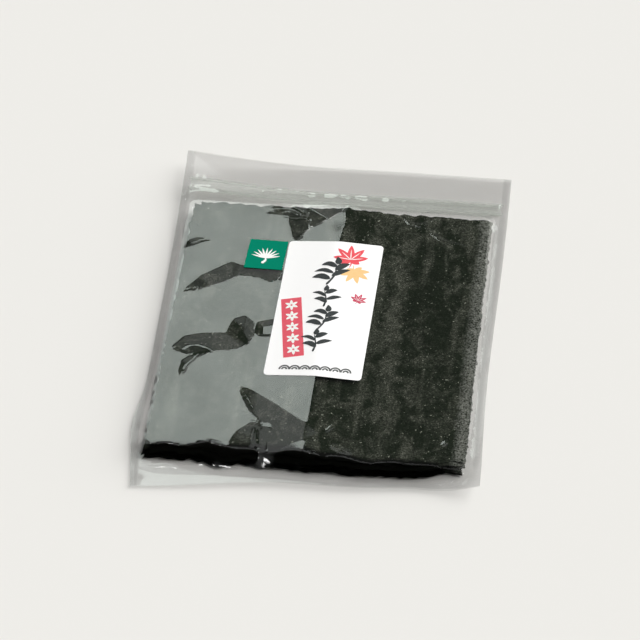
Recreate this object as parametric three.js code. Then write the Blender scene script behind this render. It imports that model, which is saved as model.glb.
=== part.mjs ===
// A clear resealable bag of dried seaweed sheets, lying on its back with its front up.
// The filled bag is one closed body. A paper label and a small square sticker lie on its front.
// Millimetres, +Z up, +Y towards the closure, origin on the table under the middle of the bag.
import * as THREE from 'three';

// ---- driving dimensions ----
const BAG_WIDTH = 214; // flat film, side seal to side seal
const BAG_LENGTH = 274; // near edge to the far edge of the header
const SIDE_SEAL = 5; // welded band down each side
const FILM_BODY = 1.0; // the two films and the air between them, where nothing fills the bag

const STACK_WIDTH = 190; // one full seaweed sheet
const STACK_LENGTH = 210;
const STACK_CENTRE = new THREE.Vector2(-1.5, -10.5);
const STACK_TURN = THREE.MathUtils.degToRad(-2); // the sheets lie a little askew in the bag
const STACK_CORNER = 4;
const STACK_TOP = 9.2; // upper film over the ten wavy sheets
const SIDE_SLOPE = 9; // how far the film runs down beside the stack
const END_SLOPE = 13; // the same, at the near and far ends

const ZIP_DISTANCE = 116.8; // middle of the upper track, from the bag's middle
const ZIP_SKEW = 4.5; // its left end lies this much farther, its right end this much nearer
const ZIP_RIB = 1.8; // width of one track
const ZIP_RIB_RISE = 0.9;
const ZIP_SPACING = 7.6; // between the two tracks
const BODY_LENGTH = BAG_LENGTH / 2 + ZIP_DISTANCE; // near edge to the upper track
const HEADER_LENGTH = BAG_LENGTH / 2 - ZIP_DISTANCE;

const SEAM_HEIGHT = 1.5; // middle of the flat film above the table
const NEAR_SEAM_ARCH = 2.6; // the near edge rides up in the middle
const CORNER_LIFTS = [ // corners that curl up: height at the corner and how far in it reaches
  { x: -107.8, y: 143.4, height: 10.5, reach: 75 },
  { x: 106.3, y: -131.7, height: 9.5, reach: 34 },
];
const CURL = 1.6; // how sharply a curled corner turns up

const DENTS = [ // slack hollows in the upper film: middle, half sizes, turn and depth
  { x: -70, y: 37, along: 26, across: 7, turn: 12, depth: 1.3 },
  { x: -66, y: -28, along: 24, across: 8, turn: 4, depth: 1.4 },
  { x: -28, y: -78, along: 28, across: 8, turn: -14, depth: 1.2 },
  { x: 9, y: 83, along: 20, across: 6, turn: -10, depth: 1.2 },
];

const LABEL = { x: -2.8, y: 7, width: 61, length: 116, turn: -1.7, corner: 2.5 };
const STICKER = { x: -45.4, y: 53.4, width: 24.8, length: 24.8, turn: -3.2, corner: 0.4 };
const PAPER = 0.5;
const PAPER_GAP = 0.35; // between the film and the paper on it

const { clamp, lerp, degToRad } = THREE.MathUtils;

/** A smooth hump, 1 at 0 and almost nothing past 2. */
const bell = (q) => Math.exp(-q * q);

// ---- outline of the bag, seen from above ----

/** Left edge: it bellies out low down and draws in at the near corner. */
function leftEdge(y) {
  return -BAG_WIDTH / 2 - 1.2 - 4 * bell((y + 88) / 22) + 2.2 * bell((y + 140) / 14);
}

/** Right edge: the stack draws it in along the middle. */
function rightEdge(y) {
  return BAG_WIDTH / 2 - 0.7 - 3.1 * bell((y + 35) / 70);
}

/** Near edge, for s from 0 at the left to 1 at the right. */
function nearEdge(s) {
  const arch = 4.2 * bell((s - 0.38) / 0.26) * Math.sin(Math.PI * s);
  return -BAG_LENGTH / 2 + 5.1 * s + arch + 3 * bell((s - 0.8) / 0.13);
}

/** Far edge, the top of the header. */
function farEdge(s) {
  return BAG_LENGTH / 2 + lerp(6.4, -0.3, s) + 1.5 * Math.sin(Math.PI * s);
}

/** Middle line of the upper zip track. */
function zipLine(s) {
  return ZIP_DISTANCE + ZIP_SKEW * (1 - 2 * s);
}

/** A point of the bag: s runs left to right, t from 0 at the near edge through 1 at the zip to 2 at the far edge. */
function bagPoint(s, t) {
  const y = t < 1 ? lerp(nearEdge(s), zipLine(s), t) : lerp(zipLine(s), farEdge(s), t - 1);
  return new THREE.Vector2(lerp(leftEdge(y), rightEdge(y), s), y);
}

// ---- heights of the two films ----

/** 0 over the stack, rising to 1 where the two films have come together outside it. */
function beyondStack(point) {
  const local = point.clone().sub(STACK_CENTRE).rotateAround(new THREE.Vector2(), -STACK_TURN);
  const outX = Math.max(Math.abs(local.x) - STACK_WIDTH / 2 + STACK_CORNER, 0);
  const outY = Math.max(Math.abs(local.y) - STACK_LENGTH / 2 + STACK_CORNER, 0);
  const corner = Math.hypot(outX, outY);
  if (corner <= STACK_CORNER) return 0;
  const slope = (SIDE_SLOPE * outX + END_SLOPE * outY) / (outX + outY);
  return Math.min((corner - STACK_CORNER) / slope, 1);
}

/** Height of the curled corners at a point. */
function curl(point) {
  return CORNER_LIFTS.reduce((height, corner) => {
    const near = 1 - Math.hypot(point.x - corner.x, point.y - corner.y) / corner.reach;
    return height + corner.height * Math.max(near, 0) ** CURL;
  }, 0);
}

/** Middle height of the flat film round the stack. */
function seamHeight(s, t) {
  const arch = NEAR_SEAM_ARCH * Math.sin(Math.PI * s) * clamp(1 - t / 0.12, 0, 1);
  return SEAM_HEIGHT + arch;
}

/** Depth of the slack hollows at a point. */
function dentDepth(point) {
  return DENTS.reduce((depth, dent) => {
    const turn = degToRad(dent.turn);
    const dx = point.x - dent.x;
    const dy = point.y - dent.y;
    const along = (dx * Math.cos(turn) + dy * Math.sin(turn)) / dent.along;
    const across = (dy * Math.cos(turn) - dx * Math.sin(turn)) / dent.across;
    return depth + dent.depth * bell(Math.hypot(along, across));
  }, 0);
}

/** Rise of the zip tracks at t. */
function zipRise(t) {
  const below = (1 - t) * (t < 1 ? BODY_LENGTH : HEADER_LENGTH);
  const onTrack = [0, ZIP_SPACING].some((at) => Math.abs(below - at) < ZIP_RIB / 2);
  return onTrack ? ZIP_RIB_RISE : 0;
}

/** Heights of the upper and lower film at (s, t). */
function filmHeights(s, t) {
  const point = bagPoint(s, t);
  const away = beyondStack(point);
  const filled = (1 - away) ** CURL;
  const seam = seamHeight(s, t);
  const lift = curl(point);
  const upper = lerp(seam + FILM_BODY / 2, STACK_TOP - dentDepth(point), filled) + zipRise(t) + lift;
  const lower = lerp(seam - FILM_BODY / 2, 0, filled) + lift;
  return { point, upper, lower };
}

// ---- meshes ----

/** Numbers from the first break to the last, with the given count of even steps between each two. */
function stations(breaks, steps) {
  const out = [breaks[0]];
  steps.forEach((count, i) => {
    for (let k = 1; k <= count; k += 1) out.push(lerp(breaks[i], breaks[i + 1], k / count));
  });
  return out;
}

/** Columns of the bag's grid: fine down each side of the stack, coarse over it. */
function bagColumns() {
  const slope = 2 * SIDE_SLOPE;
  const breaks = [0, SIDE_SEAL, SIDE_SEAL + slope, BAG_WIDTH - SIDE_SEAL - slope, BAG_WIDTH - SIDE_SEAL, BAG_WIDTH];
  return stations(breaks, [1, 6, 20, 6, 1]).map((x) => x / BAG_WIDTH);
}

/** Rows of the bag's grid: fine at the stack's two ends and along the zip tracks. */
function bagRows() {
  const rib = ZIP_RIB / 2;
  const edge = 0.25; // a track's side is this steep
  const below = [ZIP_SPACING + rib + edge, ZIP_SPACING + rib - edge, ZIP_SPACING - rib + edge,
    ZIP_SPACING - rib - edge, rib + edge, rib - edge];
  const shoulders = stations([0, 5, 36, BODY_LENGTH - 44, BODY_LENGTH - below[0]], [1, 7, 18, 8]);
  const tracks = below.slice(1).map((distance) => BODY_LENGTH - distance);
  const aboveZip = [rib - edge, rib + edge, HEADER_LENGTH / 2, HEADER_LENGTH];
  return [...[...shoulders, ...tracks].map((distance) => distance / BODY_LENGTH),
    ...aboveZip.map((distance) => 1 + distance / HEADER_LENGTH)];
}

/** Closed body between the upper and the lower film, on one grid. */
function bagGeometry() {
  const columns = bagColumns();
  const rows = bagRows();
  const heights = rows.map((t) => columns.map((s) => filmHeights(s, t)));
  const positions = ['upper', 'lower'].flatMap((side) =>
    heights.flat().flatMap((node) => [node.point.x, node.point.y, node[side]]));
  const across = columns.length;
  const layer = across * rows.length;
  const index = [];
  const quad = (a, b, c, d) => index.push(a, b, c, a, c, d);
  for (let j = 0; j + 1 < rows.length; j += 1) {
    for (let i = 0; i + 1 < across; i += 1) {
      const a = j * across + i;
      quad(a, a + 1, a + across + 1, a + across);
      quad(layer + a, layer + a + across, layer + a + across + 1, layer + a + 1);
    }
  }
  const last = (rows.length - 1) * across;
  for (let i = 0; i + 1 < across; i += 1) {
    quad(layer + i, layer + i + 1, i + 1, i);
    quad(last + i, last + i + 1, layer + last + i + 1, layer + last + i);
  }
  for (let j = 0; j + 1 < rows.length; j += 1) {
    const left = j * across;
    const right = left + across - 1;
    quad(left, left + across, layer + left + across, layer + left);
    quad(layer + right, layer + right + across, right + across, right);
  }
  const geometry = new THREE.BufferGeometry();
  geometry.setAttribute('position', new THREE.Float32BufferAttribute(positions, 3));
  geometry.setIndex(index);
  geometry.computeVertexNormals();
  return geometry;
}

/** A flat piece of paper with rounded corners, its underside at height 0. */
function paperGeometry({ width, length, corner }) {
  const w = width / 2 - corner;
  const h = length / 2 - corner;
  const outline = new THREE.Shape();
  outline.absarc(w, h, corner, 0, Math.PI / 2);
  outline.absarc(-w, h, corner, Math.PI / 2, Math.PI);
  outline.absarc(-w, -h, corner, Math.PI, 1.5 * Math.PI);
  outline.absarc(w, -h, corner, 1.5 * Math.PI, 2 * Math.PI);
  outline.closePath();
  return new THREE.ExtrudeGeometry(outline, { depth: PAPER, bevelEnabled: false, curveSegments: 5 });
}

/** A named mesh in its own plain finish. */
function piece(name, geometry, color, roughness) {
  const mesh = new THREE.Mesh(geometry, new THREE.MeshStandardMaterial({ color, roughness, metalness: 0 }));
  mesh.name = name;
  return mesh;
}

/** Paper laid on the film at its place and turn. */
function paperPiece(name, paper, color) {
  const mesh = piece(name, paperGeometry(paper), color, 0.6);
  mesh.position.set(paper.x, paper.y, STACK_TOP + PAPER_GAP);
  mesh.rotation.z = degToRad(paper.turn);
  return mesh;
}

const pack = new THREE.Group();
const bag = piece('bag', bagGeometry(), 0x3b4540, 0.15);
pack.add(bag, paperPiece('label', LABEL, 0xf4f3ef), paperPiece('square_sticker', STICKER, 0x0a7d63));

bag.geometry.computeBoundingBox();
const middle = bag.geometry.boundingBox.getCenter(new THREE.Vector3());
pack.position.set(-middle.x, -middle.y, 0);

export default pack;
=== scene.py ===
"""A clear resealable bag of dried seaweed sheets, with a paper label and a small square sticker on its front.

The bag lies on its back on a pale studio floor. Sizes are in millimetres in the bag's own frame: +X to
the right seal, +Y to the closure, +Z up from the floor. They turn into metres in the row frame when a
mesh gets its points.
"""

from __future__ import annotations

import logging
import math
from dataclasses import dataclass
from enum import Enum

import bpy
import numpy as np
from mathutils import Matrix, Vector

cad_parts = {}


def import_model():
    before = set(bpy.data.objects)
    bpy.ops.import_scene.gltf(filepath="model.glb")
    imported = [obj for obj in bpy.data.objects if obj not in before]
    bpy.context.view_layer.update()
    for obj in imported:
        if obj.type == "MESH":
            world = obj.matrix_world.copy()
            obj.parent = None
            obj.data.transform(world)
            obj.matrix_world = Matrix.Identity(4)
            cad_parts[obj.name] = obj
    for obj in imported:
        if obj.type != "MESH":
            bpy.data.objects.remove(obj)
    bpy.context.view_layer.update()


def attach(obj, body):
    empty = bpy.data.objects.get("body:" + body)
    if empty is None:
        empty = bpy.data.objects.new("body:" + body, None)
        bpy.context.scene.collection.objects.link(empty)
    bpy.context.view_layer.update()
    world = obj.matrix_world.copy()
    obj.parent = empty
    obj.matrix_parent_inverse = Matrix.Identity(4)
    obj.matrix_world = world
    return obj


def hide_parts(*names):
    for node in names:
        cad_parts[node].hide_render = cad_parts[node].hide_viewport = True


LOG = logging.getLogger("seaweed_bag")
MM = 0.001
BODY = "root"

Array = np.ndarray
Point = tuple[float, float]


# ---------------------------------------------------------------- numbers and shapes


def linear(code: str) -> tuple[float, float, float, float]:
    """Turn an sRGB hex value into linear red, green, blue and alpha.

    Args:
        code: Six hex digits with a leading #.

    Returns:
        The linear colour, opaque.
    """
    channels = (int(code[i : i + 2], 16) / 255 for i in (1, 3, 5))
    red, green, blue = (c / 12.92 if c <= 0.04045 else ((c + 0.055) / 1.055) ** 2.4 for c in channels)
    return red, green, blue, 1.0


def lerp(start: Array | float, end: Array | float, share: Array | float) -> Array | float:
    """Return the value that lies this share of the way from start to end."""
    return start + (end - start) * share


def bell(q: Array | float) -> Array | float:
    """Return a smooth hump, 1 at 0 and almost nothing past 2."""
    return np.exp(-np.square(q))


def soft_step(value: Array | float, low: float, high: float) -> Array | float:
    """Return 0 below low and 1 above high, with a smooth rise between."""
    share = np.clip((value - low) / (high - low), 0, 1)
    return share * share * (3 - 2 * share)


def ripples(x: Array, y: Array, wavelength: float, seed: int) -> Array:
    """Return smooth seeded waves with a height of about one.

    Args:
        x: Places along X in millimetres.
        y: Places along Y in millimetres.
        wavelength: Typical length of a wave in millimetres.
        seed: Seed of the random directions and phases.

    Returns:
        The height at each place.
    """
    rng = np.random.default_rng(seed)
    waves = 9
    total = np.zeros(np.shape(x))
    for _ in range(waves):
        angle = rng.uniform(0, math.tau)
        length = wavelength * rng.uniform(0.65, 1.5)
        along = x * math.cos(angle) + y * math.sin(angle)
        total += np.sin(math.tau * along / length + rng.uniform(0, math.tau))
    return total * math.sqrt(2 / waves)


def distance_to_segment(x: Array, y: Array, start: Point, end: Point) -> tuple[Array, Array]:
    """Measure how far points lie from a straight line between two points.

    Args:
        x: Places along X.
        y: Places along Y.
        start: First end of the line.
        end: Second end of the line.

    Returns:
        The distance, and the share of the line's length at the nearest place on it.
    """
    dx, dy = end[0] - start[0], end[1] - start[1]
    share = np.clip(((x - start[0]) * dx + (y - start[1]) * dy) / (dx * dx + dy * dy), 0, 1)
    return np.hypot(x - start[0] - share * dx, y - start[1] - share * dy), share


def inside_outline(x: Array, y: Array, outline: tuple[Point, ...]) -> Array:
    """Find the points that lie inside a closed outline.

    Args:
        x: Places along X.
        y: Places along Y.
        outline: The outline's corners in order.

    Returns:
        True for each point inside it.
    """
    inside = np.zeros(np.shape(x), bool)
    for (x0, y0), (x1, y1) in zip(outline, outline[1:] + outline[:1]):
        if y0 != y1:
            inside ^= ((y0 > y) != (y1 > y)) & (x < (x1 - x0) * (y - y0) / (y1 - y0) + x0)
    return inside


def turned(x: Array | float, y: Array | float, degrees: float) -> tuple[Array, Array]:
    """Turn points about the origin, counter-clockwise seen from above."""
    c, s = math.cos(math.radians(degrees)), math.sin(math.radians(degrees))
    return x * c - y * s, x * s + y * c


def smooth_path(points: tuple[Point, ...], steps: int) -> Array:
    """Run a rounded line through given points.

    Args:
        points: Two points or more.
        steps: Even steps along the line.

    Returns:
        One row of x and y for each step's end.
    """
    knots = np.array([points[0], *points, points[-1]], float)
    at = np.linspace(0, len(points) - 1 - 1e-9, steps + 1)
    i = at.astype(int)
    f = (at - i)[:, None]
    a, b, c, d = (knots[i + k] for k in range(4))
    return 0.5 * (2 * b + (c - a) * f + (2 * a - 5 * b + 4 * c - d) * f**2 + (3 * b - a - 3 * c + d) * f**3)


# ---------------------------------------------------------------- Blender helpers


def add_node(
    tree: bpy.types.NodeTree,
    kind: str,
    inputs: dict | tuple = (),
    out: str | int = 0,
    **settings: object,
) -> bpy.types.NodeSocket | None:
    """Add a shader node with its settings and links.

    Args:
        tree: Node tree that gets the node.
        kind: Blender's name of the node type, without ShaderNode before it.
        inputs: Value, colour or output socket for each input, by its name or number, or all in order.
        out: Name or number of the output that is wanted.
        **settings: The node's own properties.

    Returns:
        The wanted output, or None from a node that has none.
    """
    node = tree.nodes.new("ShaderNode" + kind)
    for name, value in settings.items():
        setattr(node, name, value)
    for name, value in inputs.items() if isinstance(inputs, dict) else enumerate(inputs):
        if isinstance(value, bpy.types.NodeSocket):
            tree.links.new(value, node.inputs[name])
        else:
            node.inputs[name].default_value = value
    return node.outputs[out] if node.outputs else None


def per_metre(size: float) -> float:
    """Return the scale that gives a noise texture features of this many millimetres."""
    return 1 / (size * MM)


def deselect() -> None:
    """Leave nothing selected."""
    for obj in bpy.context.selected_objects:
        obj.select_set(False)


def select_only(obj: bpy.types.Object) -> None:
    """Select one object alone and make it the active one.

    Args:
        obj: The object.
    """
    deselect()
    bpy.context.view_layer.objects.active = obj
    obj.select_set(True)


def grid(name: str, across: int, along: int) -> bpy.types.Object:
    """Add a flat square grid, one metre wide about the origin.

    Args:
        name: The piece's name.
        across: Faces along X.
        along: Faces along Y.

    Returns:
        The new object, active and selected.
    """
    deselect()
    bpy.ops.mesh.primitive_grid_add(x_subdivisions=across, y_subdivisions=along, size=1)
    obj = bpy.context.object
    obj.name = obj.data.name = name
    return obj


def get_points(obj: bpy.types.Object) -> Array:
    """Read a mesh's points.

    Args:
        obj: The mesh.

    Returns:
        X, Y and Z of each point, one row each.
    """
    flat = np.zeros(len(obj.data.vertices) * 3)
    obj.data.vertices.foreach_get("co", flat)
    return flat.reshape(-1, 3)


def set_points(obj: bpy.types.Object, points: Array) -> None:
    """Move a mesh's points."""
    obj.data.vertices.foreach_set("co", points.astype(np.float32).ravel())
    obj.data.update()


def store(obj: bpy.types.Object, name: str, values: Array) -> None:
    """Store a number for each point of a mesh, which a material reads by its name."""
    attribute = obj.data.attributes.new(name, "FLOAT", "POINT")
    attribute.data.foreach_set("value", values.astype(np.float32))


def cut_in_strips(obj: bpy.types.Object, axis: int, pitch: float) -> None:
    """Bisect a mesh at even steps along one axis, so that it can bend there.

    Args:
        obj: Mesh to cut, in millimetres.
        axis: 0 for X and 1 for Y.
        pitch: Step in millimetres.
    """
    reach = get_points(obj)[:, axis]
    normal = [float(i == axis) for i in range(3)]
    select_only(obj)
    bpy.ops.object.mode_set(mode="EDIT")
    for at in np.arange(reach.min() + pitch, reach.max() - pitch / 4, pitch):
        bpy.ops.mesh.select_all(action="SELECT")
        bpy.ops.mesh.bisect(plane_co=[at * n for n in normal], plane_no=normal)
    bpy.ops.object.mode_set(mode="OBJECT")


def apply_modifier(obj: bpy.types.Object, kind: str, **settings: object) -> None:
    """Add a modifier and apply it.

    Args:
        obj: The mesh.
        kind: Blender's name of the modifier.
        **settings: The modifier's own properties.
    """
    select_only(obj)
    modifier = obj.modifiers.new(kind.title(), kind)
    for name, value in settings.items():
        setattr(modifier, name, value)
    bpy.ops.object.modifier_apply(modifier=modifier.name)


def shade(obj: bpy.types.Object, angle: float) -> None:
    """Shade smoothly where faces meet at less than this many degrees."""
    select_only(obj)
    bpy.ops.object.shade_smooth_by_angle(angle=math.radians(angle))


def join(name: str, parts: list[bpy.types.Object]) -> bpy.types.Object:
    """Join meshes into one piece.

    Args:
        name: The piece's name.
        parts: The meshes, one or more.

    Returns:
        The piece.
    """
    deselect()
    for part in parts:
        part.select_set(True)
    bpy.context.view_layer.objects.active = parts[0]
    if len(parts) > 1:
        bpy.ops.object.join()
    whole = bpy.context.view_layer.objects.active
    whole.name = whole.data.name = name
    return whole


def hand_over(obj: bpy.types.Object, material: bpy.types.Material, slot: str, *nodes: str) -> None:
    """Dress a finished piece, put it on the body and report it.

    Args:
        obj: The finished piece.
        material: Its finish.
        slot: Name of a material slot; not used.
        *nodes: CAD nodes that the piece stands for.
    """
    obj.data.materials.clear()
    obj.data.materials.append(material)
    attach(obj, BODY)
    if nodes:
        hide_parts(*nodes)
    points = get_points(obj) / MM
    low, high = points.min(0), points.max(0)
    LOG.info("%s: %d faces, %s mm", obj.name, len(obj.data.polygons), np.round(high - low, 1))


# ---------------------------------------------------------------- finishes


def new_material(name: str) -> tuple[bpy.types.Material, bpy.types.NodeTree]:
    """Start a material with no nodes.

    Args:
        name: The material's name.

    Returns:
        The material and its node tree.
    """
    material = bpy.data.materials.new(name)
    material.use_nodes = True
    material.node_tree.nodes.clear()
    return material, material.node_tree


@dataclass(frozen=True)
class PolypropyleneFilm:
    """Blown polypropylene film: clear and slightly grey, it mirrors a window and shows every crease.

    A thin wall mirrors light on both its faces. The outer face stands for both here, so that the
    inner one lets everything through. The attribute weld dulls and greys the film where it is sealed.
    """

    name: str = "polypropylene_film"
    tint: str = "#FDFDFD"
    welded_tint: str = "#F6F6F6"
    mirrored_head_on: float = 0.13
    glancing_power: float = 5.0
    roughness: float = 0.05
    welded_mirror: float = 0.4
    mottle: float = 9.0
    mottle_depth: float = 0.012
    pull: float = 2.2
    pull_depth: float = 0.004

    def material(self) -> bpy.types.Material:
        """Build the film: see-through, mixed with a mirror that strengthens at a glancing angle.

        Returns:
            The material.
        """
        material, tree = new_material(self.name)
        place = add_node(tree, "TexCoord", out="Object")
        along = add_node(tree, "Mapping", {"Vector": place, "Scale": (1.0, 0.3, 1.0)})
        mottle = add_node(tree, "TexNoise", {"Vector": place, "Scale": per_metre(self.mottle), "Detail": 3.0})
        pulled = add_node(tree, "TexNoise", {"Vector": along, "Scale": per_metre(self.pull), "Detail": 2.0})
        broad = add_node(
            tree, "Bump", {"Height": mottle, "Distance": self.mottle_depth * MM, "Strength": 1.0}
        )
        relief = add_node(
            tree,
            "Bump",
            {"Height": pulled, "Distance": self.pull_depth * MM, "Strength": 1.0, "Normal": broad},
        )
        weld = add_node(tree, "Attribute", out="Fac", attribute_name="weld")
        tint = add_node(
            tree,
            "Mix",
            {0: weld, 6: linear(self.tint), 7: linear(self.welded_tint)},
            out=2,
            data_type="RGBA",
        )
        clear = add_node(tree, "BsdfTransparent", (tint,))
        gloss = add_node(
            tree,
            "BsdfGlossy",
            {"Color": linear("#FFFFFF"), "Roughness": self.roughness, "Normal": relief},
        )
        facing = add_node(tree, "LayerWeight", (0.5,), out="Facing")
        glancing = add_node(tree, "Math", (facing, self.glancing_power), operation="POWER")
        mirrored = add_node(tree, "MapRange", (glancing, 0.0, 1.0, self.mirrored_head_on, 1.0))
        smooth = add_node(tree, "MapRange", (weld, 0.0, 1.0, 1.0, self.welded_mirror))
        inside = add_node(tree, "NewGeometry", out="Backfacing")
        outside = add_node(tree, "MapRange", (inside, 0.0, 1.0, smooth, 0.0))
        share = add_node(tree, "Math", (mirrored, outside), operation="MULTIPLY")
        add_node(tree, "OutputMaterial", (add_node(tree, "MixShader", (share, clear, gloss)),))
        return material


@dataclass(frozen=True)
class ExtrudedZip:
    """Extruded polyethylene zip profile: milky, so it reads as a pale line in the clear film."""

    name: str = "polyethylene_zip"
    milk: str = "#E6E8E4"
    clear_tint: str = "#F9FAF9"
    milkiness: float = 0.14
    unevenness: float = 0.2
    roughness: float = 0.25
    ior: float = 1.51
    streak: float = 2.5

    def material(self) -> bpy.types.Material:
        """Build the profile: a milky plastic that partly lets light through, streaked along its length.

        Returns:
            The material.
        """
        material, tree = new_material(self.name)
        place = add_node(tree, "TexCoord", out="Object")
        along = add_node(tree, "Mapping", {"Vector": place, "Scale": (0.1, 1.0, 1.0)})
        streaks = add_node(
            tree, "TexNoise", {"Vector": along, "Scale": per_metre(self.streak), "Detail": 3.0}
        )
        least, most = (self.milkiness * (1 + side * self.unevenness) for side in (-1, 1))
        share = add_node(tree, "MapRange", (streaks, 0.3, 0.7, least, most))
        clear = add_node(tree, "BsdfTransparent", (linear(self.clear_tint),))
        milky = add_node(
            tree,
            "BsdfPrincipled",
            {"Base Color": linear(self.milk), "Roughness": self.roughness, "IOR": self.ior},
        )
        add_node(tree, "OutputMaterial", (add_node(tree, "MixShader", (share, clear, milky)),))
        return material


@dataclass(frozen=True)
class PressedSeaweed:
    """Dried pressed seaweed: near-black green, brown-grey where it is thin, with pale fibres and specks.

    The attribute for the near rim is painted shade: it darkens the edge that faces the viewer, which lies in
    shade where the sheets bend down. The attribute for the right rim is painted light: it greys the right
    edge, where light from the right falls on it under the film's right shoulder. The attribute worn thins
    the sheet in bands.
    """

    name: str = "pressed_seaweed"
    deep: str = "#0C120B"
    green: str = "#1F271C"
    brown: str = "#474A41"
    fibre: str = "#808276"
    speck: str = "#B4B8A8"
    # painted light: pale grey for the right edge, where light from the right falls on it
    painted_light_grey: str = "#9B9D96"
    # painted shade: near-black for the near edge of the sheets, which lies in shade
    shade: str = "#060705"
    grain: float = 1.1
    grain_depth: float = 0.3
    patch: float = 13.0
    streak: float = 10.0
    fibre_length: float = 3.0
    speck_size: float = 1.5
    roughness: float = 0.7
    specular: float = 0.08

    def ridges(
        self, tree: bpy.types.NodeTree, place: bpy.types.NodeSocket, size: float, width: float
    ) -> bpy.types.NodeSocket:
        """Draw thin curved lines where a distorted noise crosses its middle value.

        Args:
            tree: Node tree of the material.
            place: Coordinates.
            size: Typical bend of a fibre in millimetres.
            width: Half-width of a line as a share of the noise's range.

        Returns:
            A socket that is 1 on the lines.
        """
        noise = add_node(
            tree, "TexNoise", {"Vector": place, "Scale": per_metre(size), "Detail": 2.0, "Distortion": 1.6}
        )
        signed = add_node(tree, "Math", (noise, 0.5), operation="SUBTRACT")
        away = add_node(tree, "Math", (signed,), operation="ABSOLUTE")
        return add_node(tree, "MapRange", (away, width, 0.0, 0.0, 1.0))

    def material(self) -> bpy.types.Material:
        """Build the sheet: dark clumps and thin streaks under a net of short fibres and stray specks. Painted
        light greys its right edge and painted shade darkens its near edge.

        Returns:
            The material.
        """
        material, tree = new_material(self.name)
        place = add_node(tree, "TexCoord", out="Object")
        along = add_node(tree, "Mapping", {"Vector": place, "Scale": (1.0, 0.22, 1.0)})
        grain, patches, bands, flecks = (
            add_node(
                tree,
                "TexNoise",
                {
                    "Vector": vector,
                    "Scale": per_metre(size),
                    "Detail": detail,
                    "Roughness": roughness,
                    "Distortion": distortion,
                },
            )
            for vector, size, detail, roughness, distortion in (
                (place, self.grain, 3.0, 0.6, 0.0),
                (place, self.patch, 5.0, 0.62, 0.9),
                (along, self.streak, 3.0, 0.5, 0.0),
                (place, self.speck_size, 1.0, 0.5, 0.5),
            )
        )
        # the near-rim attribute is painted shade, the right-rim attribute is painted light, worn marks
        # thinner sheet
        near_painted_shade, right_painted_light, worn = (
            add_node(tree, "Attribute", out="Fac", attribute_name=name)
            for name in ("near_painted_shade", "right_painted_light", "worn")
        )
        clumps = add_node(tree, "MapRange", (patches, 0.45, 0.68))
        streaks = add_node(tree, "MapRange", (bands, 0.53, 0.68))
        bare = add_node(tree, "Math", (worn, patches, -0.12), operation="MULTIPLY_ADD")
        thin = add_node(tree, "Math", (clumps, streaks), operation="MAXIMUM")
        thin = add_node(tree, "Math", (thin, bare), operation="ADD", use_clamp=True)
        mottled = add_node(tree, "MapRange", (grain, 0.36, 0.62, 0.25, 1.0))
        rough = add_node(tree, "MapRange", (grain, 0.36, 0.68))
        specks = add_node(tree, "MapRange", (flecks, 0.70, 0.78, 0.0, 0.8))
        short = self.ridges(tree, place, self.fibre_length, 0.03)
        long = self.ridges(tree, place, self.fibre_length * 1.7, 0.02)
        lines = add_node(tree, "Math", (short, long), operation="MAXIMUM")
        broken = add_node(tree, "Math", (lines, mottled), operation="MULTIPLY")
        gathered = add_node(tree, "MapRange", (thin, 0.0, 1.0, 0.1, 0.95))
        fibres = add_node(tree, "Math", (broken, gathered), operation="MULTIPLY")
        # painted light: greys the right edge where light from the right falls, broken up by the grain
        uneven = add_node(tree, "Math", (right_painted_light, patches), operation="ADD")
        painted_light_share = add_node(tree, "MapRange", (uneven, 0.8, 1.4, 0.0, 0.75))
        painted_light_rim = add_node(tree, "Math", (painted_light_share, rough), operation="MULTIPLY")
        tone = linear(self.green)
        for share, below, above in (
            (thin, None, linear(self.brown)),
            (mottled, linear(self.deep), None),
            (fibres, None, linear(self.fibre)),
            (specks, None, linear(self.speck)),
            # painted light on the right edge
            (painted_light_rim, None, linear(self.painted_light_grey)),
            # painted shade on the near edge
            (near_painted_shade, None, linear(self.shade)),
        ):
            tone = add_node(
                tree, "Mix", {0: share, 6: below or tone, 7: above or tone}, out=2, data_type="RGBA"
            )
        relief = add_node(
            tree, "Bump", {"Height": grain, "Distance": self.grain_depth * MM, "Strength": 0.7}
        )
        sheet = add_node(
            tree,
            "BsdfPrincipled",
            {
                "Base Color": tone,
                "Roughness": self.roughness,
                "Specular IOR Level": self.specular,
                "Normal": relief,
            },
        )
        add_node(tree, "OutputMaterial", (sheet,))
        return material


@dataclass(frozen=True)
class CoatedPaper:
    """Coated sticker paper: even and bright, with a soft sheen and a barely uneven surface."""

    name: str
    colour: str
    shadow: str
    roughness: float = 0.42
    specular: float = 0.06
    cloud: float = 5.0
    tooth: float = 0.3
    tooth_depth: float = 0.02

    def material(self) -> bpy.types.Material:
        """Build the paper or ink: one colour with faint clouds and a fine tooth.

        Returns:
            The material.
        """
        material, tree = new_material(self.name)
        place = add_node(tree, "TexCoord", out="Object")
        cloud = add_node(tree, "TexNoise", {"Vector": place, "Scale": per_metre(self.cloud), "Detail": 4.0})
        tooth = add_node(tree, "TexNoise", {"Vector": place, "Scale": per_metre(self.tooth), "Detail": 2.0})
        colour = add_node(
            tree, "Mix", {0: cloud, 6: linear(self.colour), 7: linear(self.shadow)}, out=2, data_type="RGBA"
        )
        relief = add_node(
            tree, "Bump", {"Height": tooth, "Distance": self.tooth_depth * MM, "Strength": 0.6}
        )
        paper = add_node(
            tree,
            "BsdfPrincipled",
            {
                "Base Color": colour,
                "Roughness": self.roughness,
                "Specular IOR Level": self.specular,
                "Normal": relief,
            },
        )
        add_node(tree, "OutputMaterial", (paper,))
        return material


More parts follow.
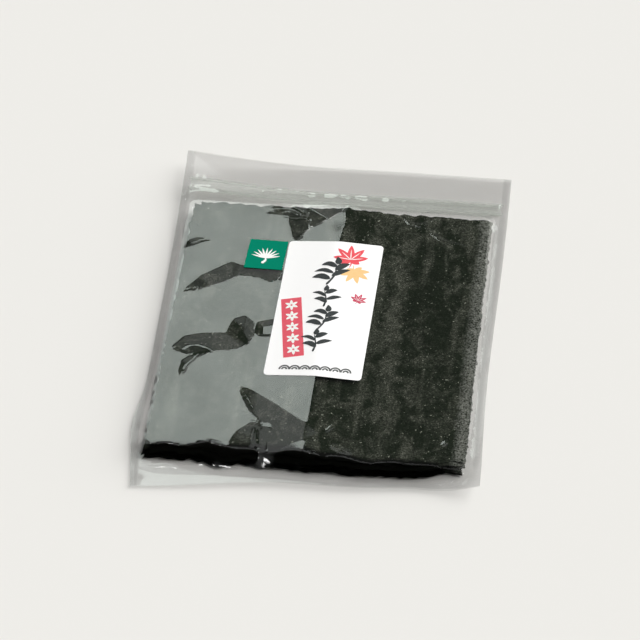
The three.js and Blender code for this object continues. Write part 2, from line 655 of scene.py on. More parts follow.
class Ink(Enum):
    """The inks of the two papers in the order they are printed: name, colour and its darker cloud."""

    RED = ("ink_red", "#E56471", "#DE5C6A")
    LEAF_RED = ("ink_leaf_red", "#DE4450", "#EA6A70")
    PEACH = ("ink_peach", "#F2CD96", "#EDBE82")
    CRIMSON = ("ink_crimson", "#C0405A", "#CE6075")
    GREY = ("ink_grey", "#5A5C5C", "#6E7070")
    WHITE = ("ink_white", "#FBFBF8", "#F2F2EE")
    BRUSH = ("ink_brush", "#35393A", "#4A4E4E")

    def material(self) -> bpy.types.Material:
        """Get the ink's material, the same one each time.

        Returns:
            The material.
        """
        name, colour, shadow = self.value
        found = bpy.data.materials.get(name)
        return found or CoatedPaper(name, colour, shadow, roughness=0.5, cloud=1.5).material()


# ---------------------------------------------------------------- the bag's form


@dataclass(frozen=True)
class Bulge:
    """A smooth swelling of an edge of the bag, or a dip where it is negative."""

    at: float
    reach: float
    by: float

    def off(self, place: Array) -> Array:
        """Return how far the edge is moved at each place along it."""
        return self.by * bell((place - self.at) / self.reach)


@dataclass(frozen=True)
class CurledCorner:
    """A corner of the bag that curls up."""

    x: float
    y: float
    height: float
    reach: float


@dataclass(frozen=True)
class Hollow:
    """A slack patch of the front film that dips like a shallow facet.

    It falls gently from its high side and comes back up steeply at its low side. The direction of
    the fall is in degrees from +X.
    """

    outline: tuple[Point, ...]
    fall: float = -60.0
    gentle: float = 6.0
    steep: float = 86.0
    floor: float = 1.8
    low_side: Point = (0.42, 0.6)

    def drop(self, x: Array, y: Array) -> Array:
        """Measure how far the film dips.

        Args:
            x: Places along X.
            y: Places along Y.

        Returns:
            The depth at each place.
        """
        fall_x, fall_y = math.cos(math.radians(self.fall)), math.sin(math.radians(self.fall))
        ring = np.array(self.outline)
        after = np.roll(ring, -1, axis=0)
        turn = math.copysign(1, float((ring[:, 0] * after[:, 1] - ring[:, 1] * after[:, 0]).sum()))
        depth = np.full(np.shape(x), np.inf)
        for start, end in zip(self.outline, self.outline[1:] + self.outline[:1]):
            out_x, out_y = turn * (end[1] - start[1]), turn * (start[0] - end[0])
            downhill = (1 + (out_x * fall_x + out_y * fall_y) / math.hypot(out_x, out_y)) / 2
            angle = lerp(self.gentle, self.steep, float(soft_step(downhill, *self.low_side)))
            rise = math.tan(math.radians(angle))
            depth = np.minimum(depth, distance_to_segment(x, y, start, end)[0] * rise)
        return np.where(inside_outline(x, y, self.outline), np.minimum(depth, self.floor), 0.0)


@dataclass(frozen=True)
class Crease:
    """A short sharp fold that stands up from the film and catches the light."""

    path: tuple[Point, ...]
    height: float = 0.35
    width: float = 0.8

    def rise(self, x: Array, y: Array) -> Array:
        """Measure how far the film stands up.

        Args:
            x: Places along X.
            y: Places along Y.

        Returns:
            The height at each place.
        """
        total = np.zeros(np.shape(x))
        pieces = len(self.path) - 1
        for i, (start, end) in enumerate(zip(self.path, self.path[1:])):
            away, share = distance_to_segment(x, y, start, end)
            fade = np.sin(math.pi * np.clip((i + share) / pieces, 0.06, 0.94)) ** 0.5
            total = np.maximum(total, self.height * fade * bell(away / self.width))
        return total


@dataclass(frozen=True)
class BagForm:
    """Outline of the bag and the heights of its two films over the stack, as the filled bag lies."""

    width: float = 214.0
    length: float = 274.0
    side_seal: float = 5.0
    near_margin: Point = (12.0, 18.0)
    left_shift: float = -1.2
    left_belly: Bulge = Bulge(at=-88, reach=22, by=-4)
    left_tuck: Bulge = Bulge(at=-140, reach=14, by=2.2)
    right_shift: float = -0.7
    right_tuck: Bulge = Bulge(at=-48, reach=88, by=-3.3)
    near_slant: float = 5.1
    near_arch: Bulge = Bulge(at=0.38, reach=0.26, by=4.2)
    near_tuck: Bulge = Bulge(at=0.8, reach=0.13, by=3)
    far_ends: Point = (6.4, -0.3)
    far_arch: float = 1.5
    film_body: float = 1.0
    stack_width: float = 197.0
    stack_length: float = 216.0
    stack_centre: Point = (-3.2, -9.4)
    skew: float = -0.042
    stack_corner: float = 6.0
    near_left_corner: float = 9.0
    stack_top: float = 9.2
    side_slope: float = 8.0
    end_slope: float = 13.0
    near_droop: float = 6.0
    near_droop_right: float = 2.6
    near_droop_begins: Point = (-103, -82)
    near_droop_eases: Point = (-8, 24)
    near_waver: float = 0.7
    zip_distance: float = 116.8
    zip_skew: float = 4.5
    zip_rib: float = 1.8
    zip_rise: float = 0.3
    zip_spacing: float = 7.6
    seam_height: float = 1.5
    near_seam_arch: float = 2.6
    near_seam_rows: float = 0.12
    curl_power: float = 1.6
    curls: tuple[CurledCorner, ...] = (
        CurledCorner(x=-107.8, y=143.4, height=10.5, reach=96),
        CurledCorner(x=106.3, y=-131.7, height=9.5, reach=34),
    )
    crown_height: float = 2.5
    crown_reach: float = 32.0
    crown_top: float = 1.2
    crown_foot: float = 0.2
    crown_bulge: float = 2.0
    crown_bulge_centre: Point = (6, 84)
    crown_bulge_reach: Point = (18, 12)
    ridge_middle: float = -1.2
    ridge_lean: float = 0.026

    def left_edge(self, y: Array) -> Array:
        """Return X of the left edge, which bellies out low down and draws in at the near corner."""
        return -self.width / 2 + self.left_shift + self.left_belly.off(y) + self.left_tuck.off(y)

    def right_edge(self, y: Array) -> Array:
        """Return X of the right edge, which the stack draws in along the middle."""
        return self.width / 2 + self.right_shift + self.right_tuck.off(y)

    def near_edge(self, s: Array) -> Array:
        """Return Y of the near edge, for s from 0 at the left to 1 at the right."""
        arch = self.near_arch.off(s) * np.sin(math.pi * s)
        return -self.length / 2 + self.near_slant * s + arch + self.near_tuck.off(s)

    def far_edge(self, s: Array) -> Array:
        """Return Y of the header's far edge."""
        return self.length / 2 + lerp(*self.far_ends, s) + self.far_arch * np.sin(math.pi * s)

    def zip_line(self, s: Array) -> Array:
        """Return Y of the middle of the upper zip track."""
        return self.zip_distance + self.zip_skew * (1 - 2 * s)

    def from_side(self, s: Array) -> Array:
        """Return the distance from the nearer side of the bag."""
        return np.minimum(s, 1 - s) * self.width

    @property
    def body_length(self) -> float:
        """Length from the near edge to the upper zip track."""
        return self.length / 2 + self.zip_distance

    def plan(self, s: Array, v: Array) -> tuple[Array, Array]:
        """Place a point of the flat bag on the floor.

        Args:
            s: Share of the width, from the left edge.
            v: Share of the length, from the near edge.

        Returns:
            X and Y of the point.
        """
        split = self.body_length / self.length
        below, above = v / split, (v - split) / (1 - split)
        y = np.where(
            v < split,
            lerp(self.near_edge(s), self.zip_line(s), below),
            lerp(self.zip_line(s), self.far_edge(s), above),
        )
        return lerp(self.left_edge(y), self.right_edge(y), s), y

    @property
    def shift(self) -> Array:
        """Find the move from the bag's own frame to the row frame, where the outline's middle is the origin.

        Returns:
            The move along X, Y and Z.
        """
        s, v = np.meshgrid(np.linspace(0, 1, 215), np.linspace(0, 1, 275))
        x, y = self.plan(s, v)
        return -np.array([x.min() + x.max(), y.min() + y.max(), 0.0]) / 2

    def to_frame(self, x: Array, y: Array, z: Array) -> Array:
        """Return points of the bag's own frame as metres in the row frame, one row each."""
        return (np.stack([x, y, z], -1) + self.shift) * MM

    def droop(self, x: Array) -> Array:
        """Measure how far the stack's near end bends down, more on the left than on the right.

        Args:
            x: Places along X.

        Returns:
            How far the end has drawn back at each place.
        """
        full = lerp(self.near_droop, self.near_droop_right, soft_step(x, *self.near_droop_eases))
        waver = self.near_waver * ripples(x, 0 * x, 26, 12)
        return full * soft_step(x, *self.near_droop_begins) + waver

    def beyond_stack(self, x: Array, y: Array) -> Array:
        """Measure how far the films have come together round the stack.

        Args:
            x: Places along X.
            y: Places along Y.

        Returns:
            0 over the stack, rising to 1 where they touch outside it.
        """
        local_x = x - self.stack_centre[0]
        local_y = y - self.stack_centre[1] - self.skew * local_x
        corner = np.where((local_x < 0) & (local_y < 0), self.near_left_corner, self.stack_corner)
        droop = self.droop(x)
        out_x = np.maximum(np.abs(local_x) - self.stack_width / 2 + corner, 0)
        out_far = np.maximum(local_y - self.stack_length / 2 + corner, 0)
        out_near = np.maximum(-local_y - self.stack_length / 2 + corner + droop, 0)
        out_y = out_far + out_near
        end_slope = self.end_slope + droop * (out_near > 0)
        slope = (self.side_slope * out_x + end_slope * out_y) / np.maximum(out_x + out_y, 1e-6)
        away = np.hypot(out_x, out_y) - corner
        return np.clip(away / np.maximum(slope, self.side_slope), 0, 1)

    def curl(self, x: Array, y: Array) -> Array:
        """Measure the lift of the curled corners.

        Args:
            x: Places along X.
            y: Places along Y.

        Returns:
            The height at each place.
        """
        total = np.zeros(np.shape(x))
        for corner in self.curls:
            near = np.maximum(1 - np.hypot(x - corner.x, y - corner.y) / corner.reach, 0)
            total += corner.height * near**self.curl_power
        return total

    def seam(self, s: Array, v: Array) -> Array:
        """Return the middle height of the flat film round the stack, whose near edge rides up."""
        near = np.clip(1 - v * self.length / self.body_length / self.near_seam_rows, 0, 1)
        return self.seam_height + self.near_seam_arch * np.sin(math.pi * s) * near

    def ridge(self, y: Array) -> Array:
        """Return X of the crown, the line along which the filled bag is highest."""
        return self.ridge_middle + self.ridge_lean * y

    def crown(self, x: Array, y: Array) -> Array:
        """Measure the low roof-like crown that runs up the middle and bulges to the right near the far end.

        Args:
            x: Places along X.
            y: Places along Y.

        Returns:
            The height at each place.
        """
        (centre_x, centre_y), (reach_x, reach_y) = self.crown_bulge_centre, self.crown_bulge_reach
        bulge = self.crown_bulge * bell((y - centre_y) / reach_y) * bell((x - centre_x) / reach_x)
        away = np.hypot(x - self.ridge(y) - bulge, self.crown_top) / self.crown_reach
        return self.crown_height * (1 - away + np.hypot(1 - away, self.crown_foot)) / 2

    def taut(self, x: Array, y: Array) -> Array:
        """Return the height of the front film over the stack, without its hollows."""
        return self.stack_top + self.crown(x, y)

    def filled(self, x: Array, y: Array) -> Array:
        """Return 1 where the stack holds the films apart, falling to 0 at the seams."""
        return (1 - self.beyond_stack(x, y)) ** self.curl_power

    def front(self, s: Array, v: Array) -> Array:
        """Measure the smooth front film.

        Args:
            s: Share of the width, from the left edge.
            v: Share of the length, from the near edge.

        Returns:
            The height at each place.
        """
        x, y = self.plan(s, v)
        filled = self.filled(x, y)
        loose = self.seam(s, v) + self.film_body / 2 + self.curl(x, y)
        return lerp(loose, self.taut(x, y), filled)

    def back(self, s: Array, v: Array) -> Array:
        """Measure the back film.

        Args:
            s: Share of the width, from the left edge.
            v: Share of the length, from the near edge.

        Returns:
            The height at each place.
        """
        x, y = self.plan(s, v)
        loose = self.seam(s, v) - self.film_body / 2 + self.curl(x, y)
        return lerp(loose, 0.0, self.filled(x, y))

    def middle(self, s: Array, v: Array) -> Array:
        """Return the height halfway between the two smooth films."""
        return (self.front(s, v) + self.back(s, v)) / 2


# ---------------------------------------------------------------- film


@dataclass
class Film:
    """One wall of the bag: a grid that follows the bag's form, with a thin wall on one side of it."""

    form: BagForm
    name: str
    pitch: float
    wall_side: float
    smooth_below: float
    thickness: float = 0.1

    def height(self, s: Array, v: Array) -> Array:
        """Return the height at each place. Each film has its own."""
        raise NotImplementedError

    def weld(self, s: Array, v: Array) -> Array:
        """Find where the two films are welded: at the side seals and along the near margin.

        Args:
            s: Share of the width, from the left edge.
            v: Share of the length, from the near edge.

        Returns:
            1 on a weld, 0 on the free film.
        """
        form = self.form
        sides = 1 - soft_step(form.from_side(s), form.side_seal - 0.6, form.side_seal + 0.2)
        near = lerp(0.5, 1.0, s) * (1 - soft_step(v * form.length, *form.near_margin))
        return np.maximum(sides, near)

    def build(self) -> bpy.types.Object:
        """Model the film from one grid: placed by the bag's form, then given its wall.

        Returns:
            The finished film.
        """
        form = self.form
        film = grid(self.name, round(form.width / self.pitch), round(form.length / self.pitch))
        flat = get_points(film)
        s, v = flat[:, 0] + 0.5, flat[:, 1] + 0.5
        set_points(film, form.to_frame(*form.plan(s, v), self.height(s, v)))
        store(film, "weld", self.weld(s, v))
        apply_modifier(film, "SOLIDIFY", thickness=self.thickness * MM, offset=self.wall_side)
        shade(film, self.smooth_below)
        return film


@dataclass
class FrontFilm(Film):
    """The front of the bag: film that is taut over the crown, slack in hollows and crimped at the seams."""

    name: str = "front_film"
    pitch: float = 1.15
    wall_side: float = -1.0
    smooth_below: float = 27.0
    wrinkle: float = 0.05
    fine_wrinkle: float = 0.012
    pleat: float = 0.18
    crinkle: float = 0.014
    fine_crinkle: float = 0.005
    weld_bead: float = 0.3
    hollows_end: Point = (-124, -110)
    calm_right: Point = (60, 95)
    calm_near: Point = (-118, -108)
    hollows: tuple[Hollow, ...] = (
        Hollow(((-97, 18), (-86, 33), (-75, 41), (-67, 47), (-60, 44), (-47, 42), (-32, 41), (-33, 33),
                (-40, 30), (-46, 33), (-60, 35), (-69, 29), (-81, 23))),
        Hollow(((-100, 57), (-98, 64), (-92, 67), (-80, 66), (-90, 63), (-95, 60)), gentle=8),
        Hollow(((-49, 92), (-38, 97), (-26, 98), (-22, 88), (-19, 80), (-23, 74), (-26, 68), (-30, 71),
                (-33, 83), (-36, 91)), gentle=10),
        Hollow(((-25, 98), (-12, 98), (3, 99), (2, 95), (-8, 87), (-18, 80), (-21, 88)), gentle=9),
        Hollow(((-96, -30), (-89, -20), (-78, -17), (-63, -16), (-60, -4), (-52, 0), (-47, -4),
                (-45, -16), (-48, -25), (-55, -29), (-67, -31), (-76, -35), (-83, -43), (-86, -58),
                (-89, -50), (-88, -41), (-82, -35))),
        Hollow(((-45, -6), (-36, -3), (-32, -2), (-32, -17), (-40, -17), (-44, -15)), floor=0.5),
        Hollow(((-49, -60), (-41, -62), (-33, -67), (-21, -75), (-11, -83), (-5, -88), (6, -97),
                (8, -125), (-32, -125), (-32, -92), (-33, -87), (-40, -77)),
               fall=-120, gentle=3.6, floor=2.0),
        Hollow(((-50, -110), (-47, -101), (-44, -95), (-37, -88), (-34, -90), (-25, -94), (-24, -122),
                (-50, -122)), fall=0, gentle=5, floor=2.0),
    )  # fmt: skip
    creases: tuple[Crease, ...] = (
        Crease(((-67.7, 127.7), (-65.5, 132.5), (-62.7, 136.5)), height=0.2, width=0.7),
        Crease(((-34.9, 126.5), (-27.8, 133.5)), height=0.12, width=0.7),
        Crease(((-9.5, 124), (-7.4, 135.5)), height=0.12, width=0.7),
        Crease(((66, 118.6), (68, 127), (71.6, 131)), height=0.3, width=0.7),
        Crease(((-103.8, 130), (-103.5, 118.5)), height=0.6),
        Crease(((101.5, 117), (102.4, 110.5)), height=0.5),
        Crease(((94, 91), (99.6, 105)), height=0.7, width=1.0),
        Crease(((100.5, 104.3), (106.7, 105.5)), height=0.4),
        Crease(((98, -77), (98.5, -97), (99.1, -117)), height=0.5),
        Crease(((80.4, -100.4), (83.1, -96.3)), height=0.4),
        Crease(((8.9, -95), (14.2, -87.7)), height=0.35),
        Crease(((38, 94), (44, 86), (50, 84), (56, 87), (63, 90)), height=0.3),
        Crease(((50, 84), (58, 79), (65, 72), (73, 69), (83, 66)), height=0.25),
        Crease(((-43.3, 94.4), (-34.8, 94.9), (-30, 92.8), (-25.8, 90.3), (-30.2, 88.2), (-38.1, 88.8)),
               height=0.75, width=1.3),
        Crease(((-67, -104.6), (-58.9, -105.4), (-50, -108.4)), height=0.4, width=0.9),
        Crease(((-43.7, -94.9), (-37.1, -88.4), (-33.8, -90.2), (-27.5, -91.5), (-25.3, -94.6)),
               height=0.4, width=1.0),
        Crease(((-34.2, -92.3), (-34.5, -100.3), (-34.8, -106)), height=0.4, width=1.1),
        Crease(((13.8, -105.5), (19, -108), (25.2, -109.5)), height=0.6, width=1.2),
    )  # fmt: skip

    def relief(self, s: Array, v: Array) -> Array:
        """Measure what the slack film adds to the smooth one: hollows, creases, crimps and pleats.

        Args:
            s: Share of the width, from the left edge.
            v: Share of the length, from the near edge.

        Returns:
            The added height at each place.
        """
        form = self.form
        x, y = form.plan(s, v)
        filled = form.filled(x, y)
        slack = 1 - filled
        seal = form.from_side(s)
        free = soft_step(seal, form.side_seal - 1, form.side_seal + 2)
        drop = np.max([h.drop(x, y) for h in self.hollows], axis=0)
        drop = drop * soft_step(y, *self.hollows_end)
        rise = sum(c.rise(x, y) for c in self.creases)
        header = soft_step(v * form.length, form.body_length, form.body_length + 4)
        calm = lerp(1.0, 0.3, soft_step(x, *self.calm_right)) * lerp(0.4, 1.0, soft_step(y, *self.calm_near))
        crimps = self.wrinkle * ripples(x, y, 13, 3) + self.fine_wrinkle * ripples(x, y, 4.5, 4)
        wrinkles = slack * free * (1 - header) * calm * crimps
        pleats = filled * slack * self.pleat * ripples(x, y * 0.25, 9, 6)
        crinkles = header * (self.crinkle * ripples(x, y, 26, 7) + self.fine_crinkle * ripples(x, y, 9, 8))
        weld_line = self.weld_bead * bell((seal - form.side_seal) / 0.7)
        return rise - drop * filled + wrinkles + pleats + crinkles + weld_line

    def zip_bumps(self, s: Array, v: Array) -> Array:
        """Measure how far the film rises over the two zip tracks, which end at the side seals.

        Args:
            s: Share of the width, from the left edge.
            v: Share of the length, from the near edge.

        Returns:
            The rise at each place.
        """
        form = self.form
        below = form.body_length - v * form.length
        ends = soft_step(form.from_side(s), form.side_seal - 2, form.side_seal + 1)
        bumps = bell(below / form.zip_rib) + bell((below - form.zip_spacing) / form.zip_rib)
        return form.zip_rise * ends * bumps

    def height(self, s: Array, v: Array) -> Array:
        """Return the height of the front film with all its relief."""
        return self.form.front(s, v) + self.relief(s, v) + self.zip_bumps(s, v)


@dataclass
class BackFilm(Film):
    """The back of the bag, flat on the floor under the stack."""

    name: str = "back_film"
    pitch: float = 2.0
    wall_side: float = 1.0
    smooth_below: float = 60.0
    wrinkle: float = 0.03

    def height(self, s: Array, v: Array) -> Array:
        """Measure the back film, which wrinkles a little where it is loose.

        Args:
            s: Share of the width, from the left edge.
            v: Share of the length, from the near edge.

        Returns:
            The height at each place.
        """
        x, y = self.form.plan(s, v)
        wrinkles = self.wrinkle * (1 - self.form.filled(x, y)) * ripples(x, y, 16, 11)
        return np.maximum(self.form.back(s, v) + wrinkles, 0.0)


@dataclass
class ZipTracks:
    """The closure between the films: two interlocking tracks on the tape that carries them."""

    form: BagForm
    height: float = 0.6
    lift: float = 0.08
    end_gap: float = 1.5
    end_height: float = 0.35
    rounding: float = 0.25
    bend_pitch: float = 4.0
    tape_margin: float = 1.6
    tape_thickness: float = 0.12

    def track(self, name: str, below: float) -> bpy.types.Object:
        """Model one track as a rounded bar that follows the zip line and is crushed at both ends.

        Args:
            name: The piece's name.
            below: Distance from the upper track in millimetres.

        Returns:
            The finished bar.
        """
        form = self.form
        reach = form.width - 2 * (form.side_seal - self.end_gap)
        deselect()
        bpy.ops.mesh.primitive_cube_add(size=1)
        bar = bpy.context.object
        bar.name = bar.data.name = name
        bpy.ops.object.mode_set(mode="EDIT")
        bpy.ops.transform.resize(value=(reach, form.zip_rib, self.height))
        bpy.ops.object.mode_set(mode="OBJECT")
        cut_in_strips(bar, 0, self.bend_pitch)
        apply_modifier(bar, "BEVEL", width=self.rounding, segments=3, limit_method="ANGLE")
        local = get_points(bar)
        s = 0.5 + local[:, 0] / form.width
        v = (form.body_length - below) / form.length + local[:, 1] / form.length
        flattened = soft_step(form.from_side(s), form.side_seal - self.end_gap, form.side_seal + 3)
        z = form.middle(s, v) + self.lift + local[:, 2] * lerp(self.end_height, 1.0, flattened)
        set_points(bar, form.to_frame(*form.plan(s, v), z))
        shade(bar, 50)
        return bar

    def tape(self) -> bpy.types.Object:
        """Model the tape, a narrow strip of film that reaches just past both tracks.

        Returns:
            The finished tape.
        """
        form = self.form
        reach = form.width - 2 * form.side_seal
        depth = form.zip_spacing + 2 * self.tape_margin
        tape = grid("zip_tape", round(reach / self.bend_pitch), 6)
        flat = get_points(tape)
        s = 0.5 + flat[:, 0] * reach / form.width
        v = (form.body_length - form.zip_spacing / 2 + flat[:, 1] * depth) / form.length
        under_tracks = self.lift - self.height / 2 - self.tape_thickness
        set_points(tape, form.to_frame(*form.plan(s, v), form.middle(s, v) + under_tracks))
        apply_modifier(tape, "SOLIDIFY", thickness=self.tape_thickness * MM, offset=1.0)
        shade(tape, 50)
        return tape

    def build(self) -> list[bpy.types.Object]:
        """Model both tracks and their tape."""
        tracks = [self.track("zip_track_far", 0.0), self.track("zip_track_near", self.form.zip_spacing)]
        return [*tracks, self.tape()]


# ---------------------------------------------------------------- the seaweed


@dataclass
class SeaweedStack:
    """Ten full sheets, each a few millimetres out of line with the next."""

    form: BagForm
    width: float = 190.0
    length: float = 210.0
    thickness: float = 0.25
    step: float = 0.72
    first: float = 0.35
    fine_pitch: float = 1.5
    coarse_pitch: float = 3.0
    raggedness: float = 0.5
    edge_only: int = 8
    # width in millimetres of the painted light on the right edge
    painted_light_rim: float = 13.0
    near_wave: float = 1.0
    wave: float = 0.13
    fine_wave: float = 0.08
    near_right_lift: float = 5.0
    near_right: Point = (60, 98)
    clear_below: float = 0.15
    clear_above: float = 0.3
    hollow_room: float = 1.4
    lean: float = 0.012
    seed: int = 21
    offsets: tuple[Point, ...] = (
        (-1.6, -3.4), (2.6, -2.6), (-1.2, -3.2), (3.2, 0.5), (-1.8, -2.0),
        (0.6, -2.2), (3.3, -0.8), (-1.4, 0.4), (2.2, -1.8), (3.4, 1.6),
    )  # fmt: skip
    turns: tuple[float, ...] = (0.2, -0.3, 0.1, 0.3, -0.2, 0.0, 0.4, -0.1, 0.2, 0.0)
    worn_bands: tuple[tuple[float, float, float], ...] = ((42, 6, 1.1), (26, 4, 0.6), (58, 2.5, 0.5))

    def sheet(self, index: int) -> bpy.types.Object:
        """Model one sheet: a ragged rectangle that follows the others and droops with the film.

        Args:
            index: 0 for the lowest sheet.

        Returns:
            The finished sheet, a thin closed shell.
        """
        form = self.form
        pitch = self.fine_pitch if index == len(self.offsets) - 1 else self.coarse_pitch
        faces = round(self.width / pitch), round(self.length / pitch)
        sheet = grid(f"seaweed_sheet_{index + 1:02d}", *faces)
        flat = get_points(sheet)
        u, w = flat[:, 0] * 2, flat[:, 1] * 2
        local_x, local_y = u * self.width / 2, w * self.length / 2
        ragged = self.raggedness * ripples(local_x, local_y, 7, self.seed + 40 + index)
        local_x = local_x + ragged * np.abs(u) ** self.edge_only * np.sign(u)
        local_y = local_y + ragged * np.abs(w) ** self.edge_only * np.sign(w)
        near = self.near_wave * ripples(local_x, 0 * local_y, 30, self.seed)
        near = near + self.near_right_lift * soft_step(local_x, *self.near_right)
        local_y = local_y + near * soft_step(-w, 0.75, 1)
        # painted light: greys the right edge, where light from the right falls under the film's shoulder
        right_painted_light = soft_step(local_x, self.width / 2 - self.painted_light_rim, self.width / 2 - 2)
        local_x, local_y = turned(local_x, local_y, self.turns[index])
        local_x = local_x + self.offsets[index][0]
        local_y = local_y + self.offsets[index][1]
        x = local_x + form.stack_centre[0] + self.lean * local_y
        y = local_y + form.stack_centre[1] + form.skew * local_x
        set_points(sheet, form.to_frame(x, y, self.height(index, x, y)))
        # painted shade: darkens the sheet's near end, which lies in shade where it bends down
        near_painted_shade = soft_step(-local_y - self.length / 2 + form.droop(x), -4, -1)
        worn = sum(share * bell((x - at) / reach) for at, reach, share in self.worn_bands)
        store(sheet, "near_painted_shade", near_painted_shade)
        store(sheet, "right_painted_light", right_painted_light)
        store(sheet, "worn", worn)
        apply_modifier(sheet, "SOLIDIFY", thickness=self.thickness * MM, offset=1.0)
        shade(sheet, 50)
        return sheet

    def height(self, index: int, x: Array, y: Array) -> Array:
        """Measure the underside of a sheet: evenly stacked, and squeezed between the films at the ends.

        Args:
            index: 0 for the lowest sheet.
            x: Places along X.
            y: Places along Y.

        Returns:
            The height at each place.
        """
        form = self.form
        filled = form.filled(x, y)
        seam = form.seam_height
        low = lerp(seam - form.film_body / 2, 0.0, filled) + self.clear_below
        under_hollows = form.taut(x, y) - self.hollow_room
        high = lerp(seam + form.film_body / 2, under_hollows, filled) - self.clear_above
        share = (index + 0.5) / len(self.offsets)
        stacked = low + self.first + index * self.step + form.crown(x, y) * share
        squeezed = low + (high - low) * share
        wave = self.wave * ripples(x, y, 24, self.seed + index)
        wave = wave + self.fine_wave * ripples(x, y, 9, self.seed + 70 + index)
        return np.minimum(stacked, squeezed) + wave * filled

    def build(self) -> list[bpy.types.Object]:
        """Model all the sheets from the lowest up."""
        return [self.sheet(index) for index in range(len(self.offsets))]


# ---------------------------------------------------------------- papers and print


class StrokeShape(Enum):
    """How a stroke's width runs along it."""

    BLADE = "pointed at both ends"
    BRUSH = "heavy at the start and drawn out to a point"
    BAR = "even"

    def widths(self, share: Array) -> Array:
        """Find the width along the stroke.

        Args:
            share: Places as shares of the stroke's length.

        Returns:
            The width at each place, as a part of the full width.
        """
        if self is StrokeShape.BLADE:
            return np.maximum(np.sin(math.pi * share**0.8), 0.02)
        if self is StrokeShape.BRUSH:
            return np.maximum(np.minimum(share * 9, 1) ** 0.5 * (1 - share) ** 0.55, 0.04)
        return np.ones_like(share)


@dataclass(frozen=True)
class Stroke:
    """One printed stroke: a line in the paper's own millimetres, with a width and an ink."""

    path: tuple[Point, ...]
    width: float
    ink: Ink
    shape: StrokeShape = StrokeShape.BLADE


@dataclass
class StickerPaper:
    """A rectangle of sticker paper on the film, bent over the crown and printed."""

    form: BagForm
    name: str
    x: float
    y: float
    width: float
    length: float
    turn: float
    corner: float
    finish: CoatedPaper
    slot: str
    strokes: tuple[Stroke, ...]
    thickness: float = 0.14
    glue: float = 0.08
    bend_pitch: float = 3.0
    ink_thickness: float = 0.012
    ink_step: float = 0.7
    ink_across: float = 1.5

    def lay(self, obj: bpy.types.Object, above: float) -> None:
        """Turn, place and bend a flat mesh in the paper's millimetres onto the taut film.

        Args:
            obj: Mesh to move.
            above: Height over the film in millimetres.
        """
        local = get_points(obj)
        x, y = turned(local[:, 0], local[:, 1], self.turn)
        x, y = x + self.x, y + self.y
        set_points(obj, self.form.to_frame(x, y, self.form.taut(x, y) + above))

    def sheet(self) -> bpy.types.Object:
        """Cut the paper: a plane with rounded corners, sliced so that it bends, then given its thickness.

        Returns:
            The finished paper.
        """
        deselect()
        bpy.ops.mesh.primitive_plane_add(size=1)
        paper = bpy.context.object
        paper.name = paper.data.name = self.name + "_paper"
        bpy.ops.object.mode_set(mode="EDIT")
        bpy.ops.transform.resize(value=(self.width, self.length, 1))
        bpy.ops.mesh.bevel(offset=self.corner, segments=6, affect="VERTICES")
        bpy.ops.object.mode_set(mode="OBJECT")
        cut_in_strips(paper, 0, self.bend_pitch)
        cut_in_strips(paper, 1, 2 * self.bend_pitch)
        self.lay(paper, self.glue)
        apply_modifier(paper, "SOLIDIFY", thickness=self.thickness * MM, offset=1.0)
        shade(paper, 40)
        return paper

    def ribbon(self, stroke: Stroke, layers: float) -> bpy.types.Object:
        """Print one stroke: a grid drawn out along its line, laid on the paper.

        Args:
            stroke: The stroke.
            layers: How many layers of ink lie under it.

        Returns:
            The stroke's thin closed shell.
        """
        length = float(np.hypot(*np.diff(np.array(stroke.path), axis=0).T).sum())
        steps = max(6, round(length / self.ink_step))
        across = max(2, round(stroke.width / self.ink_across))
        ribbon = grid("stroke", steps, across)
        flat = get_points(ribbon)
        share = flat[:, 0] + 0.5
        line = smooth_path(stroke.path, steps)
        ahead = np.gradient(line, axis=0)
        ahead /= np.maximum(np.linalg.norm(ahead, axis=1, keepdims=True), 1e-9)
        step = np.rint(share * steps).astype(int)
        out = flat[:, 1] * stroke.width * stroke.shape.widths(share)
        flat[:, 0] = line[step, 0] - ahead[step, 1] * out
        flat[:, 1] = line[step, 1] + ahead[step, 0] * out
        set_points(ribbon, flat)
        self.lay(ribbon, self.glue + self.thickness + (0.4 + layers) * self.ink_thickness)
        apply_modifier(ribbon, "SOLIDIFY", thickness=self.ink_thickness * MM, offset=1.0)
        return ribbon

    def build(self) -> None:
        """Make the paper and one piece for each ink on it."""
        hand_over(self.sheet(), self.finish.material(), self.slot, self.name)
        for rank, ink in enumerate(Ink):
            printed = [stroke for stroke in self.strokes if stroke.ink is ink]
            ribbons = [self.ribbon(stroke, 1.2 * rank + i % 8 / 8) for i, stroke in enumerate(printed)]
            if ribbons:
                hand_over(join(f"{self.name}_{ink.value[0]}", ribbons), ink.material(), self.slot)


def moved(stroke: Stroke, x: float, y: float, scale: float, degrees: float) -> Stroke:
    """Put a stroke in its place on the paper.

    Args:
        stroke: The stroke, drawn about its own origin.
        x: Where the origin goes along X.
        y: Where the origin goes along Y.
        scale: Size of its unit in millimetres.
        degrees: Turn about the origin.

    Returns:
        The stroke in its place.
    """
    points = (turned(a * scale, b * scale, degrees) for a, b in stroke.path)
    path = tuple((float(x + px), float(y + py)) for px, py in points)
    return Stroke(path, stroke.width * scale, stroke.ink, stroke.shape)


